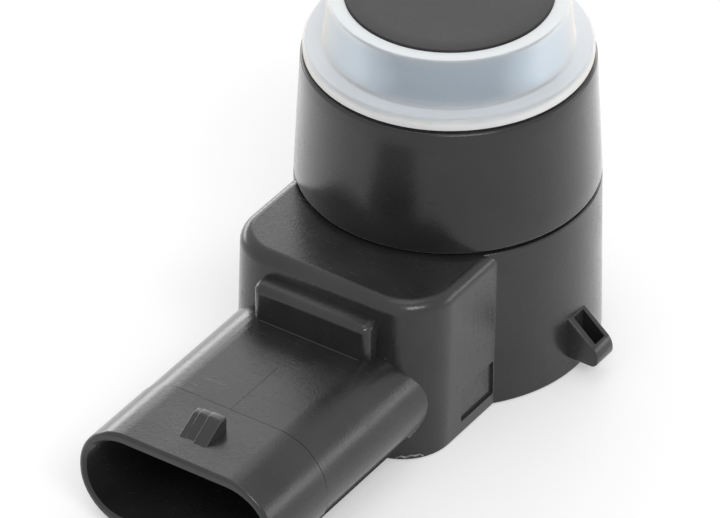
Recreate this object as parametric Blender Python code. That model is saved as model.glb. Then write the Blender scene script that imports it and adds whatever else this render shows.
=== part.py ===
"""Ultrasonic parking sensor with a moulded plug socket, in metres, +Z up.

The sensing axis is Z, with the sensing face on top. The origin lies on that axis in the plane of the
rear face, which the sensor stands on. The plug socket points to -Y and the snap lugs to +X and -X.
"""
import math

import bmesh
import bpy
from mathutils import Matrix, Vector

MM = 0.001

# Gap left between two pieces that touch, and the smoothness of round pieces
CLEAR = 0.3 * MM
ROUND = 72
FINE = 24
CORNER = 6

# Sensing head
MEMBRANE_RADIUS = 7.75 * MM
MEMBRANE_THICKNESS = 0.8 * MM
FACE_RISE = 4.05 * MM
CUP_WALL = 1.4 * MM
CUP_LENGTH = 9.0 * MM
CUP_RIM_PROUD = 0.55 * MM
CUP_RIM_HEIGHT = 1.0 * MM
CUP_EDGE = 0.15 * MM
PIEZO_RADIUS = 4.0 * MM
PIEZO_THICKNESS = 0.45 * MM
PAD_THICKNESS = 2.8 * MM
FILLER_THICKNESS = 3.6 * MM

# Decoupling ring of soft silicone
RING_DROP = 0.12 * MM
RING_WALL = 1.2 * MM
RING_TAPER = 0.27 * MM
RING_TOP_EDGE = 0.15 * MM
RING_SKIRT = 0.8 * MM
FLANGE_INSET = 0.18 * MM
FLANGE_THICKNESS = 0.85 * MM
FLANGE_EDGE = 0.35 * MM
COVE_RADIUS = 0.6 * MM
RING_LIP_THICKNESS = 0.8 * MM
RING_LIP_OVERLAP = 0.8 * MM

# Front collar, a tapered sleeve
COLLAR_HEIGHT = 10.3 * MM
COLLAR_TAPER = 0.55 * MM
COLLAR_WALL = 0.8 * MM
COLLAR_LIP_DEPTH = 0.5 * MM
COLLAR_LIP_THICKNESS = 1.2 * MM
COLLAR_EDGE = 0.3 * MM

# Housing: round body, neck, block, plug socket
BODY_HEIGHT = 13.75 * MM
BODY_DRAFT = 0.2 * MM
BODY_WALL = 1.6 * MM
NECK_WALL = 1.8 * MM
SEAL_GROOVE_DEPTH = 0.9 * MM
BLOCK_HALF_WIDTH = 9.1 * MM
BLOCK_REACH = 17.6 * MM
BLOCK_DRAFT = 0.7 * MM
BLOCK_CORNER = 4.1 * MM
BLOCK_FILLET = 1.05 * MM
DECK_THICKNESS = 1.65 * MM

SOCKET_WIDTH = 17.0 * MM
SOCKET_HEIGHT = 8.5 * MM
SOCKET_CENTRE = 4.7 * MM
SOCKET_CORNER = 4.1 * MM
SOCKET_REACH = 35.5 * MM
SOCKET_WALL = 1.0 * MM
SOCKET_EDGE = 0.3 * MM
SOCKET_FLOOR = 3.3 * MM
STEP_FROM_MOUTH = 6.95 * MM
STEP_HEIGHT = 0.08 * MM

RIB_HALF_WIDTH = 5.1 * MM
RIB_HEIGHT = 3.05 * MM
RIB_DEPTH = 1.4 * MM
RIB_OVERHANG = 0.05 * MM
RIB_CORNER = 0.65 * MM
RIB_EDGE = 0.4 * MM

LATCH_HALF_WIDTH = 1.25 * MM
LATCH_LENGTH = 2.7 * MM
LATCH_FLAT = 0.7 * MM
LATCH_HEIGHT = 1.15 * MM
LATCH_FROM_MOUTH = 2.2 * MM

LUG_HALF_WIDTH = 1.15 * MM
LUG_PROUD = 2.45 * MM
LUG_BOTTOM = 1.45 * MM
LUG_NOSE_HEIGHT = 1.4 * MM
LUG_SLOPE = math.radians(41)
LUG_CHEEK = 0.5 * MM
LUG_EDGE = 0.35 * MM

RECESS_DEPTH = 0.3 * MM
RECESS_LENGTH = 4.3 * MM
RECESS_HEIGHT = 3.0 * MM
RECESS_BOTTOM = 1.1 * MM
RECESS_FROM_BODY = 0.1 * MM

# Rear cover
COVER_THICKNESS = 1.5 * MM
RIM_WALL = 1.0 * MM

# Terminal pins and their carrier
PIN_PITCH = 4.2 * MM
PIN_COUNT = 3
PIN_SIDE = 0.64 * MM
PIN_FREE_LENGTH = 8.5 * MM
PIN_LEG_FROM_WALL = 3.4 * MM
PIN_TAIL = 0.9 * MM
PIN_TIP = 0.5 * MM
CARRIER_LENGTH = 2.0 * MM
CARRIER_MARGIN = 1.3 * MM

# Circuit board and what is soldered on it
BOARD_THICKNESS = 1.0 * MM
BOARD_MARGIN = 0.5 * MM
POST_RADIUS = 1.1 * MM
WIRE_RADIUS = 0.35 * MM
LIVE_WIRE_AT = (1.4 * MM, -2.9 * MM)
EARTH_WIRE_AT = (-1.4 * MM, -5.2 * MM)
CORE_AT = (-3.4 * MM, 1.2 * MM)
CORE_RADIUS = 2.8 * MM
CORE_HEIGHT = 5.0 * MM
CORE_FLANGE = 0.7 * MM
CORE_POST_RADIUS = 1.1 * MM
WINDING_WALL = 1.1 * MM
STORE_AT = (3.6 * MM, 2.4 * MM)
STORE_RADIUS = 1.8 * MM
STORE_HEIGHT = 4.6 * MM
CHIP_SIZE = (4.8 * MM, 3.9 * MM, 1.4 * MM)
DIODE_SIZE = (2.6 * MM, 1.6 * MM, 1.0 * MM)
SMALL_SIZE = (1.6 * MM, 0.8 * MM, 0.7 * MM)
SMALL_COUNT = 3
SMALL_ROW = 1.5 * MM
SMALL_FROM_PINS = 1.5 * MM
SMALL_FROM_WALL = 0.9 * MM

# Radii from the sensing face outwards
CUP_BORE = MEMBRANE_RADIUS - CUP_WALL
CUP_RIM_RADIUS = MEMBRANE_RADIUS + CUP_RIM_PROUD
RING_BORE = MEMBRANE_RADIUS + CLEAR
RING_FOOT_RADIUS = RING_BORE + RING_WALL
RING_TOP_RADIUS = RING_FOOT_RADIUS - RING_TAPER
RING_GROOVE = CUP_RIM_RADIUS + CLEAR
RING_SKIRT_RADIUS = RING_GROOVE + RING_SKIRT
COLLAR_LIP_RADIUS = RING_SKIRT_RADIUS + CLEAR
COLLAR_BORE = COLLAR_LIP_RADIUS + COLLAR_LIP_DEPTH
COLLAR_TOP_RADIUS = COLLAR_BORE + COLLAR_WALL
COLLAR_BASE_RADIUS = COLLAR_TOP_RADIUS + COLLAR_TAPER
FLANGE_RADIUS = COLLAR_TOP_RADIUS - FLANGE_INSET
BODY_TOP_RADIUS = COLLAR_BASE_RADIUS
BODY_BASE_RADIUS = BODY_TOP_RADIUS + BODY_DRAFT
BODY_BORE = BODY_TOP_RADIUS - BODY_WALL
NECK_RADIUS = COLLAR_BORE - CLEAR
NECK_BORE = NECK_RADIUS - NECK_WALL

# Heights from the rear face up
LEDGE = COVER_THICKNESS + CLEAR
CARRIER_BOTTOM = SOCKET_CENTRE - PIN_SIDE / 2 - CARRIER_MARGIN
CARRIER_TOP = SOCKET_CENTRE + PIN_SIDE / 2 + CARRIER_MARGIN
BOARD_BOTTOM = CARRIER_TOP + CLEAR
BOARD_TOP = BOARD_BOTTOM + BOARD_THICKNESS
SOLDER_LEVEL = BOARD_TOP + CLEAR
SOCKET_TOP = SOCKET_CENTRE + SOCKET_HEIGHT / 2
CEILING = BODY_HEIGHT - DECK_THICKNESS
COLLAR_BASE = BODY_HEIGHT + CLEAR
COLLAR_TOP = COLLAR_BASE + COLLAR_HEIGHT
COLLAR_LIP_BOTTOM = COLLAR_TOP - COLLAR_LIP_THICKNESS
FLANGE_BOTTOM = COLLAR_TOP + CLEAR
FLANGE_TOP = FLANGE_BOTTOM + FLANGE_THICKNESS
SENSOR_HEIGHT = FLANGE_TOP + FACE_RISE
CUP_BOTTOM = SENSOR_HEIGHT - CUP_LENGTH
RING_BOTTOM = CUP_BOTTOM - CLEAR - RING_LIP_THICKNESS
NECK_TOP = RING_BOTTOM - CLEAR
SEAL_Z = (COLLAR_BASE + NECK_TOP) / 2
SEAL_RADIUS = (SEAL_GROOVE_DEPTH - CLEAR) / 2
PIEZO_TOP = SENSOR_HEIGHT - MEMBRANE_THICKNESS - CLEAR
PAD_TOP = PIEZO_TOP - PIEZO_THICKNESS - CLEAR
FILLER_TOP = PAD_TOP - PAD_THICKNESS - CLEAR

# Distances from the sensing axis
BLOCK_TOP_REACH = BLOCK_REACH - BLOCK_DRAFT
CAVITY_HALF_WIDTH = BLOCK_HALF_WIDTH - BODY_WALL
CAVITY_REACH = BLOCK_TOP_REACH - BODY_WALL
CAVITY_CORNER = BLOCK_CORNER - BODY_WALL
SOCKET_BACK = CAVITY_REACH + SOCKET_FLOOR
PIN_LEG_Y = -(CAVITY_REACH - PIN_LEG_FROM_WALL)
PIN_TIP_Y = -(SOCKET_BACK + PIN_FREE_LENGTH)
RECESS_FROM_AXIS = math.sqrt(BODY_BASE_RADIUS ** 2 - BLOCK_HALF_WIDTH ** 2) + RECESS_FROM_BODY
LUG_REACH = BODY_BASE_RADIUS + LUG_PROUD
SMALL_X = CAVITY_HALF_WIDTH - SMALL_FROM_WALL - SMALL_SIZE[0] / 2
SMALL_Y = PIN_LEG_Y + SMALL_FROM_PINS
CHIP_Y = math.sqrt((BODY_BORE - 2 * BOARD_MARGIN) ** 2 - CHIP_SIZE[0] ** 2 / 4) - CHIP_SIZE[1] / 2


def clear_scene():
    for old in list(bpy.data.objects):
        bpy.data.objects.remove(old, do_unlink=True)


def plastic(name, colour, roughness, metallic=0.0):
    """A plain Principled material in the part's own colour."""
    material = bpy.data.materials.new(name)
    material.use_nodes = True
    shader = material.node_tree.nodes["Principled BSDF"]
    shader.inputs["Base Color"].default_value = (*colour, 1.0)
    shader.inputs["Roughness"].default_value = roughness
    shader.inputs["Metallic"].default_value = metallic
    return material


def make_object(name, bm, material=None):
    """Turns a bmesh into a named object with its faces pointing out."""
    bmesh.ops.recalc_face_normals(bm, faces=bm.faces)
    mesh = bpy.data.meshes.new(name)
    bm.to_mesh(mesh)
    bm.free()
    mesh.shade_smooth()
    mesh.set_sharp_from_angle(angle=math.radians(35))
    if material:
        mesh.materials.append(material)
    thing = bpy.data.objects.new(name, mesh)
    bpy.context.scene.collection.objects.link(thing)
    return thing


def shape_with(target, tool, operation):
    """Adds a Boolean to the target and marks the tool as a guide."""
    step = target.modifiers.new(tool.name, "BOOLEAN")
    step.operation = operation
    step.solver = "EXACT"
    step.object = tool
    tool.hide_render = True
    tool.display_type = "WIRE"


def cut(target, tool):
    shape_with(target, tool, "DIFFERENCE")


def unite(target, tool):
    shape_with(target, tool, "UNION")


def disc(name, radius, bottom, top, at=(0.0, 0.0), sides=ROUND, top_radius=None, material=None):
    """A round post or cone along Z."""
    bm = bmesh.new()
    bmesh.ops.create_cone(
        bm, cap_ends=True, segments=sides, radius1=radius,
        radius2=radius if top_radius is None else top_radius, depth=top - bottom,
        matrix=Matrix.Translation((at[0], at[1], (bottom + top) / 2)))
    return make_object(name, bm, material)


def box(name, low, high, material=None):
    """A square-edged block between two corners."""
    bm = bmesh.new()
    size = [b - a for a, b in zip(low, high)]
    middle = [(a + b) / 2 for a, b in zip(low, high)]
    bmesh.ops.create_cube(bm, size=1.0, matrix=Matrix.Translation(middle) @ Matrix.Diagonal((*size, 1.0)))
    return make_object(name, bm, material)


def turned(name, profile, material=None, sides=ROUND):
    """Spins a closed profile of (radius, height) points round Z, or an open one that ends on the axis."""
    bm = bmesh.new()
    verts = [bm.verts.new((radius, 0.0, height)) for radius, height in profile]
    ends_on_axis = profile[0][0] == 0.0 and profile[-1][0] == 0.0
    pairs = zip(verts, verts[1:] if ends_on_axis else verts[1:] + verts[:1])
    edges = [bm.edges.new(pair) for pair in pairs]
    bmesh.ops.spin(bm, geom=verts + edges, axis=(0, 0, 1), cent=(0, 0, 0),
                   angle=math.tau, steps=sides, use_merge=True)
    bmesh.ops.remove_doubles(bm, verts=bm.verts, dist=0.001 * MM)
    return make_object(name, bm, material)


def prism(name, outline, direction, material=None, edge=0.0):
    """Extrudes a flat outline of 3-D points along a direction, with its two end edges rounded if asked."""
    bm = bmesh.new()
    face = bm.faces.new([bm.verts.new(point) for point in outline])
    swept = bmesh.ops.extrude_face_region(bm, geom=[face])
    moved = [item for item in swept["geom"] if isinstance(item, bmesh.types.BMVert)]
    bmesh.ops.translate(bm, vec=direction, verts=moved)
    if edge:
        bmesh.ops.recalc_face_normals(bm, faces=bm.faces)
        ends = [e for e in bm.edges if (e.verts[0] in moved) == (e.verts[1] in moved)]
        bmesh.ops.bevel(bm, geom=ends, offset=edge, offset_type="OFFSET", affect="EDGES",
                        segments=2, profile=0.5, material=-1)
    return make_object(name, bm, material)


def arc(centre, radius, start, end, steps=CORNER):
    """Points along an arc, with angles in degrees."""
    angles = [math.radians(start + (end - start) * i / steps) for i in range(steps + 1)]
    return [(centre[0] + radius * math.cos(a), centre[1] + radius * math.sin(a)) for a in angles]


def rounded_box_outline(half_width, half_height, corner, centre_z):
    """The plug socket's section in X and Z, with round corners."""
    corner = min(corner, half_width, half_height)
    points = []
    for side_x, side_z, start in ((1, 1, 0), (-1, 1, 90), (-1, -1, 180), (1, -1, 270)):
        middle = (side_x * (half_width - corner), centre_z + side_z * (half_height - corner))
        points += arc(middle, corner, start, start + 90)
    return [p for i, p in enumerate(points) if math.dist(p, points[i - 1]) > 0.001 * MM]


def block_outline(half_width, reach, corner, back=0.0):
    """A plan between two distances from the sensing axis: square at the back, round at its front corners."""
    corner = min(corner, half_width, (reach - back) * 0.8)
    points = [(half_width, -back), (-half_width, -back)]
    points += arc((corner - half_width, corner - reach), corner, 180, 270)
    points += arc((half_width - corner, corner - reach), corner, 270, 360)
    return points


def plan_prism(name, outline, bottom, top):
    return prism(name, [(x, y, bottom) for x, y in outline], (0, 0, top - bottom))


def leaning_block(name, half_width, span, corner, heights, lean, fillet):
    """A block between two distances from the axis, round at its front corners and round its top edge.

    The top of its front leans back by the given amount, or forward when that is negative.
    """
    back, reach = span
    bm = bmesh.new()
    outline = block_outline(half_width, reach, corner, back)
    face = bm.faces.new([bm.verts.new((x, y, heights[0])) for x, y in outline])
    swept = bmesh.ops.extrude_face_region(bm, geom=[face])
    top = [item for item in swept["geom"] if isinstance(item, bmesh.types.BMVert)]
    straight = reach - back - corner
    for vert in top:
        share = min(1.0, (-vert.co.y - back) / straight)
        vert.co += Vector((0.0, lean * share, heights[1] - heights[0]))
    behind = [vert for vert in top if vert.co.y > -back - 0.001 * MM]
    edges = {edge for vert in top for edge in vert.link_edges if edge.other_vert(vert) in top}
    edges = [edge for edge in edges if not all(vert in behind for vert in edge.verts)]
    bmesh.ops.recalc_face_normals(bm, faces=bm.faces)
    bmesh.ops.bevel(bm, geom=edges, offset=fillet, offset_type="OFFSET", affect="EDGES",
                    segments=4, profile=0.5, material=-1)
    return make_object(name, bm)


def socket_prism(name, grow, back, front):
    """A length of the plug socket's section between two distances from the sensing axis."""
    outline = rounded_box_outline(SOCKET_WIDTH / 2 + grow, SOCKET_HEIGHT / 2 + grow,
                                  SOCKET_CORNER + grow, SOCKET_CENTRE)
    return prism(name, [(x, -back, z) for x, z in outline], (0, back - front, 0))


def socket_mouth():
    """The larger front length of the socket, with its outer rim edge rounded."""
    start = SOCKET_REACH - STEP_FROM_MOUTH
    outline = rounded_box_outline(SOCKET_WIDTH / 2 + STEP_HEIGHT, SOCKET_HEIGHT / 2 + STEP_HEIGHT,
                                  SOCKET_CORNER + STEP_HEIGHT, SOCKET_CENTRE)
    bm = bmesh.new()
    face = bm.faces.new([bm.verts.new((x, -start, z)) for x, z in outline])
    swept = bmesh.ops.extrude_face_region(bm, geom=[face])
    front = [item for item in swept["geom"] if isinstance(item, bmesh.types.BMVert)]
    bmesh.ops.translate(bm, vec=(0, -STEP_FROM_MOUTH, 0), verts=front)
    bmesh.ops.recalc_face_normals(bm, faces=bm.faces)
    edges = [e for e in bm.edges if all(v in front for v in e.verts)]
    bmesh.ops.bevel(bm, geom=edges, offset=SOCKET_EDGE, offset_type="OFFSET", affect="EDGES",
                    segments=2, profile=0.5, material=-1)
    return make_object("socket_mouth", bm)


def front_face(height):
    """Distance of the block's leaning front face from the sensing axis at a height."""
    return BLOCK_REACH - BLOCK_DRAFT * height / BODY_HEIGHT


def coding_rib():
    """The rib that stands on the socket against the block and leans forward a little."""
    top = SOCKET_TOP + RIB_HEIGHT
    span = (front_face(SOCKET_TOP) - BODY_WALL / 2, front_face(top) + RIB_DEPTH)
    return leaning_block("coding_rib", RIB_HALF_WIDTH, span, RIB_CORNER,
                         (SOCKET_TOP - SOCKET_WALL / 2, top), -RIB_OVERHANG, RIB_EDGE)


def latch_ramp():
    """The ramp on top of the socket that a plug's latch rides over."""
    front = SOCKET_REACH - LATCH_FROM_MOUTH
    back = front - LATCH_LENGTH
    low = SOCKET_TOP - SOCKET_WALL / 2
    top = SOCKET_TOP + STEP_HEIGHT
    profile = [(-back, low), (-front, low), (-front, top), (-(back + LATCH_FLAT), top + LATCH_HEIGHT),
               (-back, top + LATCH_HEIGHT)]
    outline = [(-LATCH_HALF_WIDTH, y, z) for y, z in profile]
    return prism("latch_ramp", outline, (2 * LATCH_HALF_WIDTH, 0, 0))


def lug_profile(root, inset):
    """A lug's section in X and Z: a slope falling outwards to a rounded nose over a flat underside."""
    reach = LUG_REACH - inset
    bottom = LUG_BOTTOM + inset
    rise = math.tan(LUG_SLOPE)
    nose = LUG_BOTTOM + LUG_NOSE_HEIGHT + inset * 2
    return [(root, nose + (reach - root) * rise), (root, bottom), (reach - LUG_EDGE, bottom),
            (reach, bottom + LUG_EDGE), (reach, nose - LUG_EDGE / 2),
            (reach - LUG_EDGE, nose + LUG_EDGE * rise)]


def snap_lugs(housing):
    """Two hollow snap lugs, one on each side of the round body, open on their slope."""
    root = BODY_TOP_RADIUS - BODY_WALL / 2
    gap = LUG_HALF_WIDTH - LUG_CHEEK
    for side, word in ((1, "right"), (-1, "left")):
        solid = [(side * x, -LUG_HALF_WIDTH, z) for x, z in lug_profile(root, 0.0)]
        unite(housing, prism("lug_" + word, solid, (0, 2 * LUG_HALF_WIDTH, 0), edge=LUG_EDGE / 2))
        pocket = [(side * x, -gap, z) for x, z in lug_profile(BODY_BASE_RADIUS, LUG_CHEEK)]
        cut(housing, prism("lug_pocket_" + word, pocket, (0, 2 * gap, 0)))


def pin_positions():
    return [PIN_PITCH * (i - (PIN_COUNT - 1) / 2) for i in range(PIN_COUNT)]


def post_positions():
    """Where the board posts hang: at the block's front corners and beside the round body's wall."""
    corner_x = CAVITY_HALF_WIDTH - POST_RADIUS - BOARD_MARGIN
    corner_y = -(CAVITY_REACH - POST_RADIUS - BOARD_MARGIN)
    wall = (BODY_BORE - POST_RADIUS / 2) * math.sqrt(0.5)
    return [(corner_x, corner_y), (-corner_x, corner_y), (wall, wall), (-wall, wall)]


def make_housing(material):
    """The main moulding: round body, neck, block, plug socket, rib, ramp and lugs in one piece."""
    housing = disc("housing", BODY_BASE_RADIUS, 0.0, BODY_HEIGHT, top_radius=BODY_TOP_RADIUS,
                   material=material)
    unite(housing, leaning_block("block", BLOCK_HALF_WIDTH, (0.0, BLOCK_REACH), BLOCK_CORNER,
                                 (0.0, BODY_HEIGHT), BLOCK_DRAFT, BLOCK_FILLET))
    unite(housing, disc("neck", NECK_RADIUS, CEILING, NECK_TOP))
    unite(housing, socket_prism("socket", 0.0, CAVITY_REACH, SOCKET_REACH - STEP_FROM_MOUTH / 2))
    unite(housing, socket_mouth())
    unite(housing, coding_rib())
    unite(housing, latch_ramp())
    snap_lugs(housing)
    hollow_out(housing)
    add_board_posts(housing)
    return housing


def hollow_out(housing):
    """Cuts the rear chamber, the neck's bore and seal groove, the socket, pin holes and side recess."""
    below = -CLEAR * 3
    cavity = block_outline(CAVITY_HALF_WIDTH, CAVITY_REACH, CAVITY_CORNER)
    cut(housing, disc("body_bore", BODY_BORE, below, CEILING))
    cut(housing, plan_prism("block_bore", cavity, below * 1.1, CEILING))
    cut(housing, disc("cover_seat_round", BODY_BASE_RADIUS - RIM_WALL, below * 1.2, LEDGE))
    seat = block_outline(BLOCK_HALF_WIDTH - RIM_WALL, BLOCK_TOP_REACH - RIM_WALL, BLOCK_CORNER - RIM_WALL)
    cut(housing, plan_prism("cover_seat_block", seat, below * 1.3, LEDGE))
    cut(housing, disc("neck_bore", NECK_BORE, CEILING / 2, NECK_TOP * 1.1))
    groove = SEAL_GROOVE_DEPTH / 2
    floor = NECK_RADIUS - SEAL_GROOVE_DEPTH
    cut(housing, turned("seal_groove", [(floor, SEAL_Z - groove), (COLLAR_BORE, SEAL_Z - groove),
                                        (COLLAR_BORE, SEAL_Z + groove), (floor, SEAL_Z + groove)]))
    cut(housing, socket_prism("socket_bore", -SOCKET_WALL, SOCKET_BACK, SOCKET_REACH + SOCKET_WALL))
    for number, x in enumerate(pin_positions(), 1):
        half = PIN_SIDE / 2 + CLEAR
        cut(housing, box("pin_hole_%d" % number,
                         (x - half, -(SOCKET_BACK + SOCKET_WALL), SOCKET_CENTRE - half),
                         (x + half, -(CAVITY_REACH - SOCKET_WALL), SOCKET_CENTRE + half)))
    cut(housing, box("side_recess",
                     (BLOCK_HALF_WIDTH - RECESS_DEPTH, -(RECESS_FROM_AXIS + RECESS_LENGTH), RECESS_BOTTOM),
                     (BLOCK_HALF_WIDTH + RECESS_DEPTH, -RECESS_FROM_AXIS, RECESS_BOTTOM + RECESS_HEIGHT)))


def add_board_posts(housing):
    """Posts that hang from the chamber's ceiling and hold the board from above."""
    for number, at in enumerate(post_positions(), 1):
        unite(housing, disc("board_post_%d" % number, POST_RADIUS, BOARD_TOP + CLEAR,
                            CEILING + DECK_THICKNESS / 2, at=at, sides=16))


def make_rear_cover(material):
    """The flat cover that closes the rear, let in flush with the rim."""
    round_radius = BODY_BASE_RADIUS - RIM_WALL - CLEAR
    half_width = BLOCK_HALF_WIDTH - RIM_WALL - CLEAR
    reach = BLOCK_TOP_REACH - RIM_WALL - CLEAR
    outline = lobed_outline(round_radius, half_width, reach, BLOCK_CORNER - RIM_WALL - CLEAR)
    cover = plan_prism("rear_cover", outline, 0.0, COVER_THICKNESS)
    cover.data.materials.append(material)


def lobed_outline(radius, half_width, reach, corner):
    """The plan of the chamber: a round body joined to the block in front of it."""
    side = min(half_width, radius * 0.95)
    start = math.degrees(math.asin(-math.sqrt(1 - (side / radius) ** 2)))
    around = arc((0, 0), radius, start, 180 - start, ROUND // 2)
    corner = min(corner, side, reach)
    front = arc((corner - side, corner - reach), corner, 180, 270)
    front += arc((side - corner, corner - reach), corner, 270, 360)
    return around + front


def make_potting(material):
    """The cast filling that lies on the cover, under the pins."""
    outline = lobed_outline(BODY_BORE - CLEAR, CAVITY_HALF_WIDTH - CLEAR, CAVITY_REACH - CLEAR,
                            CAVITY_CORNER - CLEAR)
    potting = plan_prism("potting_compound", outline, LEDGE, CARRIER_BOTTOM - CLEAR)
    potting.data.materials.append(material)


def make_front_collar(material):
    """The tapered sleeve round the neck, with a lip that holds the silicone ring."""
    turned("front_collar", [
        (COLLAR_BASE_RADIUS, COLLAR_BASE), (COLLAR_TOP_RADIUS, COLLAR_TOP - COLLAR_EDGE),
        (COLLAR_TOP_RADIUS - COLLAR_EDGE * 0.35, COLLAR_TOP - COLLAR_EDGE * 0.35),
        (COLLAR_TOP_RADIUS - COLLAR_EDGE, COLLAR_TOP), (COLLAR_LIP_RADIUS, COLLAR_TOP),
        (COLLAR_LIP_RADIUS, COLLAR_LIP_BOTTOM), (COLLAR_BORE, COLLAR_LIP_BOTTOM),
        (COLLAR_BORE, COLLAR_BASE),
    ], material)


def make_collar_seal(material):
    """The round-section seal in the neck's groove."""
    centre = NECK_RADIUS - SEAL_GROOVE_DEPTH + CLEAR + SEAL_RADIUS
    section = arc((centre, SEAL_Z), SEAL_RADIUS, 0, 315, 7)
    turned("collar_seal", section, material, sides=48)


def make_decoupling_ring(material):
    """The silicone ring round the cup: top wall, flange on the collar, and a skirt behind its lip."""
    top = SENSOR_HEIGHT - RING_DROP
    skirt = RING_SKIRT_RADIUS
    bead = COLLAR_BORE - CLEAR
    groove = RING_GROOVE
    rim_top = CUP_BOTTOM + CUP_RIM_HEIGHT + CLEAR
    lip = CUP_RIM_RADIUS - RING_LIP_OVERLAP
    cove = arc((RING_FOOT_RADIUS + COVE_RADIUS, FLANGE_TOP + COVE_RADIUS), COVE_RADIUS, 180, 270, 4)
    edge = arc((FLANGE_RADIUS - FLANGE_EDGE, FLANGE_TOP - FLANGE_EDGE), FLANGE_EDGE, 90, 0, 3)
    turned("decoupling_ring", [
        (RING_BORE, top), (RING_TOP_RADIUS - RING_TOP_EDGE, top), (RING_TOP_RADIUS, top - RING_TOP_EDGE),
        *cove, *edge,
        (FLANGE_RADIUS, FLANGE_BOTTOM), (skirt, FLANGE_BOTTOM), (skirt, COLLAR_LIP_BOTTOM - CLEAR),
        (bead, COLLAR_LIP_BOTTOM - CLEAR), (bead, RING_BOTTOM), (lip, RING_BOTTOM),
        (lip, CUP_BOTTOM - CLEAR), (groove, CUP_BOTTOM - CLEAR), (groove, rim_top), (RING_BORE, rim_top),
    ], material)


def make_transducer_cup(material):
    """The drawn metal cup whose closed end is the sensing membrane."""
    inner_top = SENSOR_HEIGHT - MEMBRANE_THICKNESS
    rim_top = CUP_BOTTOM + CUP_RIM_HEIGHT
    turned("transducer_cup", [
        (0.0, SENSOR_HEIGHT), (MEMBRANE_RADIUS - CUP_EDGE, SENSOR_HEIGHT),
        (MEMBRANE_RADIUS, SENSOR_HEIGHT - CUP_EDGE), (MEMBRANE_RADIUS, rim_top), (CUP_RIM_RADIUS, rim_top),
        (CUP_RIM_RADIUS, CUP_BOTTOM), (CUP_BORE, CUP_BOTTOM), (CUP_BORE, inner_top), (0.0, inner_top),
    ], material)


def drill_for_wires(target, bottom, top):
    """Two holes that the lead wires pass through."""
    for word, at in (("live", LIVE_WIRE_AT), ("earth", EARTH_WIRE_AT)):
        cut(target, disc("%s_hole_%s" % (target.name, word), WIRE_RADIUS + CLEAR,
                         bottom - CLEAR, top + CLEAR, at=at, sides=12))


def make_cup_contents(ceramic, foam, silicone):
    """The piezo disc under the membrane, with the damping pad and the filler behind it."""
    disc("piezo_disc", PIEZO_RADIUS, PIEZO_TOP - PIEZO_THICKNESS, PIEZO_TOP, sides=48, material=ceramic)
    pad = disc("damping_pad", CUP_BORE - CLEAR, PAD_TOP - PAD_THICKNESS, PAD_TOP, sides=48, material=foam)
    drill_for_wires(pad, PAD_TOP - PAD_THICKNESS, PAD_TOP)
    filler = disc("cup_filler", CUP_BORE - CLEAR, FILLER_TOP - FILLER_THICKNESS, FILLER_TOP, sides=48,
                  material=silicone)
    drill_for_wires(filler, FILLER_TOP - FILLER_THICKNESS, FILLER_TOP)


def make_lead_wires(red, black):
    """The two wires from the piezo disc and the cup down to the board."""
    disc("lead_wire_live", WIRE_RADIUS, SOLDER_LEVEL, PIEZO_TOP - PIEZO_THICKNESS - CLEAR, at=LIVE_WIRE_AT,
         sides=12, material=red)
    disc("lead_wire_earth", WIRE_RADIUS, SOLDER_LEVEL, SENSOR_HEIGHT - MEMBRANE_THICKNESS - CLEAR,
         at=EARTH_WIRE_AT, sides=12, material=black)


def make_circuit_board(material):
    """The board that fills the chamber's plan, with a hole for each pin."""
    outline = lobed_outline(BODY_BORE - BOARD_MARGIN, CAVITY_HALF_WIDTH - BOARD_MARGIN,
                            CAVITY_REACH - BOARD_MARGIN, CAVITY_CORNER - BOARD_MARGIN)
    board = plan_prism("circuit_board", outline, BOARD_BOTTOM, BOARD_TOP)
    board.data.materials.append(material)
    half = PIN_SIDE / 2 + CLEAR
    for number, x in enumerate(pin_positions(), 1):
        cut(board, box("board_hole_%d" % number, (x - half, PIN_LEG_Y - half, BOARD_BOTTOM - CLEAR),
                       (x + half, PIN_LEG_Y + half, BOARD_TOP + CLEAR)))


def on_board(name, size, at, material):
    """A small component that lies on the board's upper face."""
    bottom = SOLDER_LEVEL
    return box(name, (at[0] - size[0] / 2, at[1] - size[1] / 2, bottom),
               (at[0] + size[0] / 2, at[1] + size[1] / 2, bottom + size[2]), material)


def make_transformer(ferrite, copper):
    """A drum core standing on the board, with its winding between the two flanges."""
    bottom = SOLDER_LEVEL
    top = bottom + CORE_HEIGHT
    shift = Matrix.Translation((*CORE_AT, 0.0))
    core = turned("transformer_core", [
        (0.0, top), (CORE_RADIUS, top), (CORE_RADIUS, top - CORE_FLANGE),
        (CORE_POST_RADIUS, top - CORE_FLANGE), (CORE_POST_RADIUS, bottom + CORE_FLANGE),
        (CORE_RADIUS, bottom + CORE_FLANGE), (CORE_RADIUS, bottom), (0.0, bottom)], ferrite, sides=FINE)
    inner = CORE_POST_RADIUS + CLEAR
    low = bottom + CORE_FLANGE + CLEAR
    high = top - CORE_FLANGE - CLEAR
    winding = turned("transformer_winding", [(inner, low), (inner + WINDING_WALL, low),
                                             (inner + WINDING_WALL, high), (inner, high)],
                     copper, sides=FINE)
    for thing in (core, winding):
        thing.data.transform(shift)


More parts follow.
